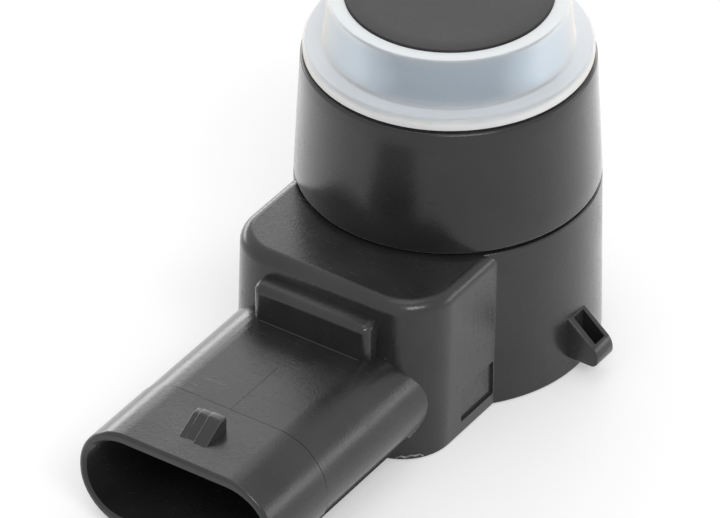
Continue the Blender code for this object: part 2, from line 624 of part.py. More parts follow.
def make_components(dark, ceramic, metal):
    """The chip, the diode, the storage capacitor and the rows of small parts."""
    on_board("control_chip", CHIP_SIZE, (0.0, CHIP_Y), dark)
    disc("storage_capacitor", STORE_RADIUS, SOLDER_LEVEL, SOLDER_LEVEL + STORE_HEIGHT, at=STORE_AT,
         sides=FINE, material=metal)
    for number in range(SMALL_COUNT):
        y = SMALL_Y + number * SMALL_ROW
        on_board("filter_capacitor_%d" % (number + 1), SMALL_SIZE, (SMALL_X, y), ceramic)
        on_board("resistor_%d" % (number + 1), SMALL_SIZE, (-SMALL_X, y), dark)
    end_of_row = SMALL_Y + (SMALL_COUNT - 1) * SMALL_ROW + SMALL_SIZE[1] / 2
    on_board("protection_diode", DIODE_SIZE,
             (SMALL_X - DIODE_SIZE[0] / 4, end_of_row + SMALL_ROW / 2 + DIODE_SIZE[1] / 2), dark)


def make_pins(metal):
    """Bent square pins: a free length in the socket, a bend in the chamber and a leg through the board."""
    half = PIN_SIDE / 2
    low = SOCKET_CENTRE - half
    high = SOCKET_CENTRE + half
    end = BOARD_TOP + PIN_TAIL
    taper = PIN_SIDE / 4
    for number, x in enumerate(pin_positions(), 1):
        profile = [(PIN_LEG_Y + half, low), (PIN_LEG_Y + half, end), (PIN_LEG_Y - half, end),
                   (PIN_LEG_Y - half, high), (PIN_TIP_Y + PIN_TIP, high), (PIN_TIP_Y, high - taper),
                   (PIN_TIP_Y, low + taper), (PIN_TIP_Y + PIN_TIP, low)]
        outline = [(x - half, y, z) for y, z in profile]
        prism("terminal_pin_%d" % number, outline, (PIN_SIDE, 0, 0), metal)


def make_pin_carrier(material):
    """The moulded block behind the socket's floor that the pins pass through."""
    front = CAVITY_REACH - CLEAR
    back = front - CARRIER_LENGTH
    half_width = pin_positions()[-1] + PIN_SIDE / 2 + CARRIER_MARGIN
    outline = block_outline(half_width, front, CAVITY_CORNER - CLEAR, back)
    carrier = plan_prism("pin_carrier", outline, CARRIER_BOTTOM, CARRIER_TOP)
    carrier.data.materials.append(material)
    half = PIN_SIDE / 2 + CLEAR
    for number, x in enumerate(pin_positions(), 1):
        cut(carrier, box("carrier_hole_%d" % number, (x - half, -front - CLEAR, SOCKET_CENTRE - half),
                         (x + half, -back + CLEAR, SOCKET_CENTRE + half)))


def build():
    clear_scene()
    black = plastic("black_moulding", (0.03, 0.03, 0.032), 0.42)
    cover_black = plastic("cover_black", (0.035, 0.035, 0.035), 0.5)
    resin = plastic("potting_resin", (0.02, 0.02, 0.022), 0.3)
    rubber = plastic("seal_rubber", (0.02, 0.02, 0.02), 0.7)
    silicone = plastic("milky_silicone", (0.72, 0.76, 0.78), 0.45)
    painted = plastic("grey_painted_metal", (0.105, 0.105, 0.108), 0.5)
    ceramic = plastic("piezo_ceramic", (0.75, 0.72, 0.62), 0.5)
    foam = plastic("damping_foam", (0.12, 0.12, 0.13), 0.95)
    green = plastic("board_green", (0.02, 0.16, 0.07), 0.45)
    dark = plastic("chip_black", (0.025, 0.025, 0.027), 0.5)
    tan = plastic("chip_ceramic", (0.5, 0.36, 0.22), 0.5)
    ferrite = plastic("ferrite_grey", (0.09, 0.09, 0.095), 0.6)
    copper = plastic("copper_winding", (0.72, 0.3, 0.13), 0.35, 1.0)
    tin = plastic("tinned_brass", (0.78, 0.76, 0.7), 0.3, 1.0)
    red = plastic("red_insulation", (0.55, 0.03, 0.03), 0.5)

    make_housing(black)
    make_rear_cover(cover_black)
    make_potting(resin)
    make_front_collar(black)
    make_collar_seal(rubber)
    make_decoupling_ring(silicone)
    make_transducer_cup(painted)
    make_cup_contents(ceramic, foam, silicone)
    make_lead_wires(red, rubber)
    make_circuit_board(green)
    make_transformer(ferrite, copper)
    make_components(dark, tan, tin)
    make_pins(tin)
    make_pin_carrier(cover_black)


build()
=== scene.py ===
"""Looks of the parking sensor: mouldings, silicone ring, sensing face and insides, on a pale floor."""
import math

import bmesh
import bpy
from mathutils import Matrix, Quaternion, Vector


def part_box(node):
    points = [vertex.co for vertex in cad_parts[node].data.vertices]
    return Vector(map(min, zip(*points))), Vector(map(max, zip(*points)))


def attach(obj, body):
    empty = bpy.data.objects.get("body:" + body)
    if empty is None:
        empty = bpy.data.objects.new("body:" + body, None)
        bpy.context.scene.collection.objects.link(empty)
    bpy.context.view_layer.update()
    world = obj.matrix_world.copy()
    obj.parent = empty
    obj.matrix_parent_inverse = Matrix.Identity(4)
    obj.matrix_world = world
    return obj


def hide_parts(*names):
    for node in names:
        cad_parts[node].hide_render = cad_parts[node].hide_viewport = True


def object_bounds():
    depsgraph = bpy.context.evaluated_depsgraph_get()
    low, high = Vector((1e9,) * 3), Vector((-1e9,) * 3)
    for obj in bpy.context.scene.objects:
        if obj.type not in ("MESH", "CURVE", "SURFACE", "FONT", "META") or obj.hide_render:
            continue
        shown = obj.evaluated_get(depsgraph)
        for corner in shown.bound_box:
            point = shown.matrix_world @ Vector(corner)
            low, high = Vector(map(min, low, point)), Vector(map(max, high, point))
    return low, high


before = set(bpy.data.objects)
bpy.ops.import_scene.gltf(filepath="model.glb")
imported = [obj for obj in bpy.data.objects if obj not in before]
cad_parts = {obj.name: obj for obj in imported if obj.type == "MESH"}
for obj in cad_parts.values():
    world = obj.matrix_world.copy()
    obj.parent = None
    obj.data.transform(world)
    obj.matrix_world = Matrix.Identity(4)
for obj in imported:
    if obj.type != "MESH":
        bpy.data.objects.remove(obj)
cad_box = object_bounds()

MM = 0.001

# Smoothness of round pieces and of rounded edges
ROUND = 160
EDGE_STEPS = 6
RING_SPACING = 1.5 * MM
SHARP = math.radians(20)
CORNER_STEPS = 12
SHARED_EDGE = 0.1 * MM

# Gap to a neighbour, weld distances, and how far a cutter stays off a plane that another one cuts
# or runs past the faces that it opens
CLEAR = 0.3 * MM
WELD = 0.003 * MM
TURNED_WELD = 0.001 * MM
OFF_PLANE = 0.01 * MM
RUN_PAST = 1.0 * MM

# Sensing head
MEMBRANE_RADIUS = 7.75 * MM
FACE_EDGE = 0.12 * MM
CUP_WALL = 1.4 * MM
CUP_CORNER = 0.3 * MM
CUP_RIM_PROUD = 0.55 * MM
CUP_RIM_HEIGHT = 1.0 * MM
MEMBRANE_THICKNESS = 0.8 * MM

# Silicone ring
RING_TO_CUP = 0.02 * MM
RING_DROP = 0.12 * MM
RING_WALL = 1.5 * MM
RING_TAPER = 0.27 * MM
RING_TOP_EDGE = 0.18 * MM
RING_SKIRT = 0.8 * MM
RING_LIP = 1.1 * MM
FLANGE_INSET = 0.18 * MM
FLANGE_THICKNESS = 0.95 * MM
FLANGE_GAP = 0.2 * MM
FLANGE_EDGE = 0.3 * MM
COVE_RADIUS = 0.25 * MM

# Collar
COLLAR_TAPER = 0.55 * MM
COLLAR_WALL = 0.8 * MM
COLLAR_LIP_DEPTH = 0.5 * MM
COLLAR_LIP_THICKNESS = 1.2 * MM
COLLAR_EDGE = 0.3 * MM
COLLAR_BASE_EDGE = 0.15 * MM

# Housing
BODY_HEIGHT = 13.75 * MM
BODY_DRAFT = 0.2 * MM
BODY_WALL = 1.6 * MM
BODY_EDGE = 0.18 * MM
NECK_WALL = 1.8 * MM
BLOCK_BACK = 1.0 * MM
BLOCK_HALF_WIDTH = 9.1 * MM
BLOCK_REACH = 17.6 * MM
BLOCK_DRAFT = 0.7 * MM
BLOCK_CORNER = 4.1 * MM
BLOCK_FILLET = 1.05 * MM
DECK_THICKNESS = 1.65 * MM
COVER_THICKNESS = 1.5 * MM
RIM_WALL = 1.0 * MM

SOCKET_WIDTH = 17.0 * MM
SOCKET_HEIGHT = 8.5 * MM
SOCKET_CENTRE = 4.7 * MM
SOCKET_CORNER = 4.1 * MM
SOCKET_WALL = 0.8 * MM
SOCKET_SIDE_WALL = 0.5 * MM
SOCKET_EDGE = 0.3 * MM
MOUTH_EDGE = 0.2 * MM
SOCKET_FLOOR = 3.3 * MM
STEP_FROM_MOUTH = 6.95 * MM
STEP_HEIGHT = 0.08 * MM
GROOVE_WIDTH = 0.12 * MM
GROOVE_DEPTH = 0.045 * MM
RIDGE_DROP = 1.75 * MM
RIDGE_SIZE = 0.06 * MM
PARTING_LEDGE = 0.16 * MM
RIB_CLEAR = 22.4 * MM

RIB_HALF_WIDTH = 5.1 * MM
RIB_HEIGHT = 3.05 * MM
RIB_DEPTH = 1.4 * MM
RIB_OVERHANG = 0.05 * MM
RIB_CORNER = 0.7 * MM
RIB_EDGE = 0.55 * MM
RIB_TILT = 0.3 * MM
FOOT_CHAMFER = 0.05 * MM
ROOT_SHORT = 0.6
FLASH_SIZE = 0.13 * MM

# A trim strip's corner is sunk by a share of its legs, and its legs' ends by a smaller share of that,
# and some strips rise by less than they stand out
STRIP_SUNK = 0.3
STRIP_TIP_SUNK = 0.2
STRIP_RISE = 0.4

LATCH_HALF_WIDTH = 1.25 * MM
LATCH_LENGTH = 2.7 * MM
LATCH_FLAT = 0.7 * MM
LATCH_HEIGHT = 1.15 * MM
LATCH_FROM_MOUTH = 2.2 * MM
LATCH_EDGE = 0.12 * MM
LATCH_FRONT_ROUNDING = 0.15 * MM
LATCH_BACK_ROUNDING = 0.12 * MM
LATCH_MIDDLE = 0.05 * MM
LATCH_MIDDLE_DROP = 0.07 * MM
LATCH_MIDDLE_CUT = 0.2 * MM
LATCH_LEFT = -0.78 * MM
LATCH_LEFT_DROP = 0.16 * MM
LATCH_LEFT_CUT = 0.1 * MM

LUG_HALF_WIDTH = 1.15 * MM
LUG_PROUD = 2.45 * MM
LUG_BOTTOM = 1.45 * MM
LUG_NOSE_HEIGHT = 1.4 * MM
LUG_SLOPE = math.radians(41)
LUG_CHEEK = 0.5 * MM
LUG_EDGE = 0.3 * MM
LUG_NOSE = 0.6 * MM

RECESS_DEPTH = 0.2 * MM
RECESS_LENGTH = 4.3 * MM
RECESS_HEIGHT = 3.0 * MM
RECESS_BOTTOM = 1.1 * MM
RECESS_FROM_BODY = 0.1 * MM
RECESS_CORNER = 0.15 * MM

# Sizes that the frame and the ones above give
SENSOR_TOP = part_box("transducer_cup")[1].z
SOCKET_REACH = -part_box("housing")[0].y
NECK_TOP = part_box("housing")[1].z
CUP_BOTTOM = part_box("transducer_cup")[0].z
RING_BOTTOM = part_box("decoupling_ring")[0].z
BODY_TOP_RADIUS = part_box("front_collar")[1].x
BODY_BASE_RADIUS = BODY_TOP_RADIUS + BODY_DRAFT
COLLAR_BASE, COLLAR_TOP = (corner.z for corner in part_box("front_collar"))
COLLAR_TOP_RADIUS = BODY_TOP_RADIUS - COLLAR_TAPER
COLLAR_BORE = COLLAR_TOP_RADIUS - COLLAR_WALL
COLLAR_LIP_RADIUS = COLLAR_BORE - COLLAR_LIP_DEPTH
NECK_RADIUS = COLLAR_BORE - CLEAR
FLANGE_RADIUS = COLLAR_TOP_RADIUS - FLANGE_INSET
FLANGE_BOTTOM = COLLAR_TOP + FLANGE_GAP
FLANGE_TOP = FLANGE_BOTTOM + FLANGE_THICKNESS
SOCKET_TOP = SOCKET_CENTRE + SOCKET_HEIGHT / 2
CEILING = BODY_HEIGHT - DECK_THICKNESS
CAVITY_REACH = BLOCK_REACH - BLOCK_DRAFT - BODY_WALL
SOCKET_BACK = CAVITY_REACH + SOCKET_FLOOR
RECESS_FROM_AXIS = math.sqrt(BODY_BASE_RADIUS ** 2 - BLOCK_HALF_WIDTH ** 2) + RECESS_FROM_BODY
LUG_REACH = BODY_BASE_RADIUS + LUG_PROUD


# Mesh helpers

def bevel(bm, geom, size, steps=EDGE_STEPS, corners=False):
    """Rounds edges, or the corners of a flat outline."""
    return bmesh.ops.bevel(bm, geom=geom, offset=size, offset_type="OFFSET", segments=steps, profile=0.5,
                           affect="VERTICES" if corners else "EDGES", material=-1, clamp_overlap=True)


def finished(name, bm, material=None):
    """Makes an object of a bmesh, with its faces out and its sharp edges kept."""
    bmesh.ops.recalc_face_normals(bm, faces=bm.faces)
    mesh = bpy.data.meshes.new(name)
    bm.to_mesh(mesh)
    bm.free()
    mesh.shade_smooth()
    mesh.set_sharp_from_angle(angle=SHARP)
    if material:
        mesh.materials.append(material)
    piece = bpy.data.objects.new(name, mesh)
    bpy.context.scene.collection.objects.link(piece)
    return piece


def mounted(piece, slot, *nodes):
    """The piece rides on the sensor and stands for the nodes it is named with."""
    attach(piece, "root")
    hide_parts(*nodes)
    return piece


def turned(name, profile, material=None):
    """Spins a profile of (radius, height, rounding) round the sensing axis.

    A profile that starts and ends on the axis stays open there, and any other is closed.
    """
    bm = bmesh.new()
    verts = [bm.verts.new((radius, 0, height)) for radius, height, _ in profile]
    on_axis = profile[0][0] == 0 and profile[-1][0] == 0
    for pair in zip(verts, verts[1:] if on_axis else verts[1:] + verts[:1]):
        bm.edges.new(pair)
    for vert, (_, _, rounding) in zip(verts, profile):
        if rounding:
            bevel(bm, [vert], rounding, corners=True)
    for edge in [edge for edge in bm.edges if edge.calc_length() > 2 * RING_SPACING]:
        bmesh.ops.subdivide_edges(bm, edges=[edge], cuts=int(edge.calc_length() / RING_SPACING))
    bmesh.ops.spin(bm, geom=bm.verts[:] + bm.edges[:], axis=(0, 0, 1), cent=(0, 0, 0),
                   angle=math.tau, steps=ROUND, use_merge=True)
    bmesh.ops.remove_doubles(bm, verts=bm.verts, dist=TURNED_WELD)
    return finished(name, bm, material)


def flat(bm, points, roundings=None, steps=CORNER_STEPS):
    """A flat face from a few corners, rounded where asked."""
    corners = [bm.verts.new(point) for point in points]
    bm.faces.new(corners)
    for vert, rounding in zip(corners, roundings or []):
        if rounding:
            bevel(bm, [vert], rounding, steps, corners=True)
    return bm.faces[:]


def pushed(bm, faces, direction):
    """Extrudes faces along a direction and returns the vertices at the far end."""
    swept = bmesh.ops.extrude_face_region(bm, geom=faces)["geom"]
    far = [item for item in swept if isinstance(item, bmesh.types.BMVert)]
    bmesh.ops.translate(bm, vec=direction, verts=far)
    return far


def rim(verts):
    """The edges whose two ends are both among the vertices, each of them once."""
    chosen = set(verts)
    return [edge for vert in verts for edge in vert.link_edges
            if edge.verts[0] == vert and edge.verts[1] in chosen]


def slab(name, points, roundings, direction, near_edge=0.0, far_edge=0.0, steps=CORNER_STEPS):
    """A flat outline pushed along a direction, with the edges of its two ends rounded."""
    bm = bmesh.new()
    faces = flat(bm, points, roundings, steps)
    near = bm.verts[:]
    far = pushed(bm, faces, direction)
    bmesh.ops.recalc_face_normals(bm, faces=bm.faces)
    near_rim, far_rim = rim(near), rim(far)
    if near_edge == far_edge and near_edge:
        bevel(bm, near_rim + far_rim, near_edge)
    else:
        if near_edge:
            bevel(bm, near_rim, near_edge)
        if far_edge:
            bevel(bm, far_rim, far_edge)
    return finished(name, bm)


def worked(base, tool, operation):
    """Joins a solid to the base or cuts it away, then welds what the cut left apart."""
    step = base.modifiers.new(tool.name, "BOOLEAN")
    step.operation = operation
    step.solver = "EXACT"
    step.object = tool
    shapes = bpy.context.evaluated_depsgraph_get()
    bm = bmesh.new()
    bm.from_mesh(base.evaluated_get(shapes).to_mesh())
    base.modifiers.remove(step)
    bmesh.ops.remove_doubles(bm, verts=bm.verts, dist=WELD)
    bmesh.ops.dissolve_degenerate(bm, edges=bm.edges, dist=WELD)
    bmesh.ops.holes_fill(bm, edges=[edge for edge in bm.edges if edge.is_boundary], sides=8)
    bm.to_mesh(base.data)
    bm.free()
    bpy.data.objects.remove(tool, do_unlink=True)


def moulded(name, base, joins, cuts, trim, material):
    """Joins and cuts solids into one moulding, and adds small trim that is sunk in it."""
    for tool in joins:
        worked(base, tool, "UNION")
    for tool in cuts:
        worked(base, tool, "DIFFERENCE")
    bm = bmesh.new()
    bm.from_mesh(base.data)
    for strip in trim:
        bm.from_mesh(strip.data)
    for used in [base, *trim]:
        bpy.data.objects.remove(used, do_unlink=True)
    piece = finished(name, bm, material)
    even = piece.modifiers.new("even_shading", "WEIGHTED_NORMAL")
    even.keep_sharp = True
    even.weight = 80
    return piece


# Housing

def body_drum():
    """The round body with the neck that the collar sits on."""
    return turned("body_drum", [
        (0, 0, 0), (BODY_BASE_RADIUS, 0, BODY_EDGE), (BODY_TOP_RADIUS, BODY_HEIGHT, BODY_EDGE),
        (NECK_RADIUS, BODY_HEIGHT, 0), (NECK_RADIUS, NECK_TOP, CLEAR), (0, NECK_TOP, 0)])


def block():
    """The block in front of the round body, round at its front corners and round its top edge."""
    bm = bmesh.new()
    w, reach = BLOCK_HALF_WIDTH, BLOCK_REACH
    faces = flat(bm, [(w, BLOCK_BACK, 0), (-w, BLOCK_BACK, 0), (-w, -reach, 0), (w, -reach, 0)],
                 [0, 0, BLOCK_CORNER, BLOCK_CORNER])
    foot = bm.verts[:]
    top = pushed(bm, faces, (0, 0, BODY_HEIGHT))
    straight = reach - BLOCK_CORNER
    for vert in top:
        vert.co.y += BLOCK_DRAFT * max(0.0, min(1.0, -vert.co.y / straight))
    bmesh.ops.recalc_face_normals(bm, faces=bm.faces)
    foot_rim = [edge for edge in rim(foot) if any(vert.co.y < 0 for vert in edge.verts)]
    top_rim = [edge for edge in rim(top) if any(vert.co.y < 0 for vert in edge.verts)]
    bevel(bm, top_rim, BLOCK_FILLET, 8)
    bevel(bm, [edge for edge in foot_rim if edge.is_valid], BODY_EDGE)
    return finished("block", bm)


def socket_section(name, grow, near, far, edge=0.0, wider=0.0):
    """A length of the plug socket's oval between two distances from the sensing axis."""
    w = SOCKET_WIDTH / 2 + grow + wider
    h = SOCKET_HEIGHT / 2 + grow
    corners = [(x, -near, SOCKET_CENTRE + z) for x, z in ((w, h), (-w, h), (-w, -h), (w, -h))]
    return slab(name, corners, [SOCKET_CORNER + grow] * 4, (0, near - far, 0), far_edge=edge)


def front_face(height):
    """Distance of the block's leaning front face from the sensing axis at a height."""
    return BLOCK_REACH - BLOCK_DRAFT * height / BODY_HEIGHT


def coding_rib():
    """The rib that stands on the socket against the block, its top falling a little to the front."""
    top = SOCKET_TOP + RIB_HEIGHT
    foot = SOCKET_TOP - SOCKET_WALL / 2
    back = front_face(SOCKET_TOP) - BODY_WALL / 2
    front = front_face(top) + RIB_DEPTH
    w = RIB_HALF_WIDTH
    bm = bmesh.new()
    faces = flat(bm, [(w, -back, foot), (-w, -back, foot), (-w, -front, foot), (w, -front, foot)],
                 [0, 0, RIB_CORNER, RIB_CORNER], 6)
    crest = pushed(bm, faces, (0, 0, top - foot))
    for vert in crest:
        share = (-vert.co.y - back) / (front - back)
        vert.co.y -= RIB_OVERHANG * share
        vert.co.z += RIB_TILT * (0.5 - share)
    bmesh.ops.recalc_face_normals(bm, faces=bm.faces)
    bevel(bm, [edge for edge in rim(crest) if any(vert.co.y < -back - RIB_OVERHANG for vert in edge.verts)],
          RIB_EDGE)
    return finished("coding_rib", bm)


def chamfer_strip(name, start, end, first, second):
    """A three-sided strip that fills a corner between two points, its two legs given as directions."""
    bm = bmesh.new()
    start, end = Vector(start), Vector(end)
    first, second = Vector(first), Vector(second)
    sunk = -(first + second) * STRIP_SUNK
    tip = sunk * STRIP_TIP_SUNK
    pushed(bm, flat(bm, [start + sunk, start + first + tip, start + second + tip]), end - start)
    return finished(name, bm)


def rib_foot():
    """Small chamfers where the rib stands on the socket and where the block rises beside it."""
    front = -(front_face(SOCKET_TOP + RIB_HEIGHT) + RIB_DEPTH)
    side = RIB_HALF_WIDTH - RIB_CORNER
    root = -front_face(SOCKET_TOP)
    near, far = RIB_HALF_WIDTH + RIB_CORNER, SOCKET_WIDTH / 2 - SOCKET_CORNER * ROOT_SHORT
    forward, up = (0, -FOOT_CHAMFER, 0), (0, 0, FOOT_CHAMFER)
    return [chamfer_strip("rib_foot", (-side, front, SOCKET_TOP), (side, front, SOCKET_TOP), forward, up),
            chamfer_strip("socket_root", (near, root, SOCKET_TOP), (far, root, SOCKET_TOP), forward, up)]


def latch_wedge(name, left, right, drop, cut_back):
    """One strip of the ramp's width, its slope lowered and its foot pulled back as given."""
    front = SOCKET_REACH - LATCH_FROM_MOUTH - cut_back
    back = SOCKET_REACH - LATCH_FROM_MOUTH - LATCH_LENGTH
    low = SOCKET_TOP - SOCKET_WALL / 2
    top = SOCKET_TOP + STEP_HEIGHT
    crest = top + LATCH_HEIGHT - drop
    sunk = (top - low) * (front - back - LATCH_FLAT) / (crest - top)
    profile = [(-back, low), (-front - sunk, low), (-back - LATCH_FLAT, crest), (-back, crest)]
    return slab(name, [(left, y, z) for y, z in profile], [0, 0, LATCH_FRONT_ROUNDING, LATCH_BACK_ROUNDING],
                (right - left, 0, 0), LATCH_EDGE, LATCH_EDGE, 4)


def latch_ramp():
    """The ramp on top of the socket that a plug's latch rides over, with its two lower strips."""
    w = LATCH_HALF_WIDTH
    return [latch_wedge("latch_right", LATCH_MIDDLE, w, 0, 0),
            latch_wedge("latch_middle", LATCH_LEFT, LATCH_MIDDLE + 2 * LATCH_EDGE,
                        LATCH_MIDDLE_DROP, LATCH_MIDDLE_CUT),
            latch_wedge("latch_left", -w, LATCH_LEFT + 2 * LATCH_EDGE, LATCH_LEFT_DROP, LATCH_LEFT_CUT)]


def lug_section(root, inset):
    """A lug's section in X and Z: a slope falling outwards to a nose over a flat underside."""
    reach = LUG_REACH - inset
    nose = LUG_BOTTOM + LUG_NOSE_HEIGHT + inset * 2
    return [(root, nose + (reach - root) * math.tan(LUG_SLOPE)), (root, LUG_BOTTOM + inset),
            (reach, LUG_BOTTOM + inset), (reach, nose)]


def snap_lug(side):
    """One hollow lug and the pocket that opens on its slope."""
    gap = LUG_HALF_WIDTH - LUG_CHEEK
    solid = [(side * x, -LUG_HALF_WIDTH, z) for x, z in lug_section(BODY_TOP_RADIUS - BODY_WALL / 2, 0)]
    hollow = [(side * x, -gap, z) for x, z in lug_section(BODY_BASE_RADIUS, LUG_CHEEK)]
    return (slab("lug", solid, [0, 0, LUG_NOSE, LUG_NOSE], (0, 2 * LUG_HALF_WIDTH, 0),
                 LUG_EDGE / 2, LUG_EDGE / 2, 6),
            slab("lug_pocket", hollow, [0, 0, LUG_EDGE / 2, 0], (0, 2 * gap, 0)))


def plan_slab(name, half_width, reach, corner, bottom, top):
    """A plan with a square back near the axis and round front corners, between two heights."""
    w = half_width
    points = [(w, BLOCK_BACK, bottom), (-w, BLOCK_BACK, bottom), (-w, -reach, bottom), (w, -reach, bottom)]
    return slab(name, points, [0, 0, corner, corner], (0, 0, top - bottom))


def round_hollow(below):
    """The cover's seat, the chamber and the bore of the neck, as one turned tool."""
    ledge = COVER_THICKNESS + CLEAR
    seat, bore, neck = BODY_BASE_RADIUS - RIM_WALL, BODY_TOP_RADIUS - BODY_WALL, NECK_RADIUS - NECK_WALL
    above = NECK_TOP + RUN_PAST
    return turned("round_hollow", [
        (0, below, 0), (seat, below, 0), (seat, ledge, 0), (bore, ledge, 0), (bore, CEILING, 0),
        (neck, CEILING, 0), (neck, above, 0), (0, above, 0)])


def socket_parts():
    """The oval socket's length, the groove behind its mouth and the mouth."""
    mouth_start = SOCKET_REACH - STEP_FROM_MOUTH
    return [socket_section("socket", 0.0, CAVITY_REACH, mouth_start - GROOVE_WIDTH),
            socket_section("groove_core", -GROOVE_DEPTH, mouth_start - RUN_PAST, mouth_start + RUN_PAST),
            socket_section("socket_mouth", STEP_HEIGHT, mouth_start, SOCKET_REACH, SOCKET_EDGE)]


def ridge(name, start, end, size):
    """A thin square ridge between two level points, set on its corner."""
    start, end = Vector(start), Vector(end)
    along = (end - start).normalized()
    side = along.cross(Vector((0, 0, 1))).normalized() * size
    lift = side.cross(along).normalized() * size
    bm = bmesh.new()
    pushed(bm, flat(bm, [start + side, start + lift, start - side, start - lift]), end - start)
    return finished(name, bm)


def parting_ridges():
    """A fine ridge on the socket's top, and the small ledges where the mould's halves met at its sides."""
    mouth_start = SOCKET_REACH - STEP_FROM_MOUTH
    front = SOCKET_REACH - SOCKET_EDGE
    low = SOCKET_CENTRE - RIDGE_DROP
    below_round = RIDGE_DROP - SOCKET_HEIGHT / 2 + SOCKET_CORNER
    inward = SOCKET_CORNER - math.sqrt(SOCKET_CORNER ** 2 - below_round ** 2)
    back, ahead = (0, -RIB_CLEAR, SOCKET_TOP), (0, -mouth_start, SOCKET_TOP)
    strips = [ridge("top_ridge", back, ahead, RIDGE_SIZE / 2)]
    for side in (1, -1):
        x = side * (SOCKET_WIDTH / 2 - inward)
        strips.append(chamfer_strip("side_ledge", (x, -BLOCK_REACH, low), (x, -front, low),
                                    (side * PARTING_LEDGE, 0, 0), (0, 0, PARTING_LEDGE * STRIP_RISE)))
    return strips


def socket_flare():
    """The chamfer round the inner edge of the mouth."""
    flare = socket_section("socket_flare", 2 * MOUTH_EDGE - SOCKET_WALL,
                           SOCKET_REACH - 2 * MOUTH_EDGE, SOCKET_REACH + MOUTH_EDGE,
                           wider=SOCKET_WALL - SOCKET_SIDE_WALL)
    shrink = 3 * MOUTH_EDGE
    for vert in flare.data.vertices:
        if vert.co.y > -SOCKET_REACH:
            vert.co.x -= math.copysign(shrink, vert.co.x) * abs(vert.co.x) / (SOCKET_WIDTH / 2)
            vert.co.z -= (vert.co.z - SOCKET_CENTRE) / (SOCKET_HEIGHT / 2) * shrink
    return flare


def side_recess():
    """The shallow recess low in the block's side, next to the round body."""
    bottom, top = RECESS_BOTTOM, RECESS_BOTTOM + RECESS_HEIGHT
    back, front = -RECESS_FROM_AXIS, -(RECESS_FROM_AXIS + RECESS_LENGTH)
    floor = BLOCK_HALF_WIDTH - RECESS_DEPTH
    points = [(floor, back, bottom), (floor, front, bottom), (floor, front, top), (floor, back, top)]
    return slab("side_recess", points, [RECESS_CORNER] * 4, (2 * RECESS_DEPTH, 0, 0), steps=4)


def make_housing(material):
    """Round body, neck, block, plug socket, rib, ramp and lugs in one moulding."""
    lugs = [snap_lug(1), snap_lug(-1)]
    joins = [block(), *socket_parts(), coding_rib(), *[lug for lug, _ in lugs]]
    # The three cutters from below start at depths of their own, so that none of their ends lie in one plane
    below = -CLEAR * 3
    cuts = [round_hollow(below),
            plan_slab("block_bore", BLOCK_HALF_WIDTH - BODY_WALL, CAVITY_REACH, BLOCK_CORNER - BODY_WALL,
                      below * 1.1, CEILING - OFF_PLANE),
            plan_slab("cover_seat", BLOCK_HALF_WIDTH - RIM_WALL, BLOCK_REACH - BLOCK_DRAFT - RIM_WALL,
                      BLOCK_CORNER - RIM_WALL, below * 1.3, COVER_THICKNESS + CLEAR + OFF_PLANE),
            socket_section("socket_bore", -SOCKET_WALL, SOCKET_BACK, SOCKET_REACH + SOCKET_WALL,
                           wider=SOCKET_WALL - SOCKET_SIDE_WALL),
            socket_flare(), side_recess(), *[pocket for _, pocket in lugs]]
    trim = [*latch_ramp(), *rib_foot(), *parting_ridges()]
    piece = moulded("housing_moulding", body_drum(), joins, cuts, trim, material)
    return mounted(piece, "black_moulding", "housing")


def make_flash(material):
    """The thin ragged line of flash low on the block's front right corner, its pale colour a painted
    highlight.
    """
    middle = Vector((BLOCK_HALF_WIDTH - BLOCK_CORNER, -(BLOCK_REACH - BLOCK_CORNER), 0))
    points = []
    for turn, height in ((63, 0.2), (58, 0.42), (53, 0.3), (48, 0.46), (43, 0.38), (38, 0.44), (34, 0.24)):
        out = Vector((math.cos(math.radians(turn)), -math.sin(math.radians(turn)), 0))
        points.append((middle + out * BLOCK_CORNER + Vector((0, 0, height * MM)), out * FLASH_SIZE))
    strips = [chamfer_strip("flash", start, end, out, (0, 0, FLASH_SIZE * STRIP_RISE))
              for (start, out), (end, _) in zip(points, points[1:])]
    piece = moulded("mould_flash", strips[0], [], [], strips[1:], material)
    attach(piece, "root")


# Collar, silicone ring and cup

def make_collar(material):
    """The tapered sleeve round the neck, with the lip that holds the silicone ring."""
    lip_bottom = COLLAR_TOP - COLLAR_LIP_THICKNESS
    piece = turned("collar_sleeve", [
        (BODY_TOP_RADIUS, COLLAR_BASE, COLLAR_BASE_EDGE), (COLLAR_TOP_RADIUS, COLLAR_TOP, COLLAR_EDGE),
        (COLLAR_LIP_RADIUS, COLLAR_TOP, SHARED_EDGE), (COLLAR_LIP_RADIUS, lip_bottom, 0),
        (COLLAR_BORE, lip_bottom, 0), (COLLAR_BORE, COLLAR_BASE, SHARED_EDGE)], material)
    return mounted(piece, "black_moulding", "front_collar")


def make_ring(material):
    """The silicone ring round the cup, with its flange on the collar and its skirt behind the lip."""
    bore = MEMBRANE_RADIUS + RING_TO_CUP
    foot = bore + RING_WALL
    top = SENSOR_TOP - RING_DROP
    rim_top = CUP_BOTTOM + CUP_RIM_HEIGHT + CLEAR
    groove = MEMBRANE_RADIUS + CUP_RIM_PROUD + CLEAR
    skirt, lip = groove + RING_SKIRT, groove - RING_LIP
    piece = turned("silicone_ring", [
        (bore, top, RING_TOP_EDGE / 2), (foot - RING_TAPER, top, RING_TOP_EDGE),
        (foot, FLANGE_TOP, COVE_RADIUS), (FLANGE_RADIUS, FLANGE_TOP, FLANGE_EDGE),
        (FLANGE_RADIUS, FLANGE_BOTTOM, SHARED_EDGE), (skirt, FLANGE_BOTTOM, 0), (skirt, RING_BOTTOM, 0),
        (lip, RING_BOTTOM, 0), (lip, CUP_BOTTOM - CLEAR, 0),
        (groove, CUP_BOTTOM - CLEAR, 0), (groove, rim_top, 0), (bore, rim_top, 0)], material)
    return mounted(piece, "milky_silicone", "decoupling_ring")


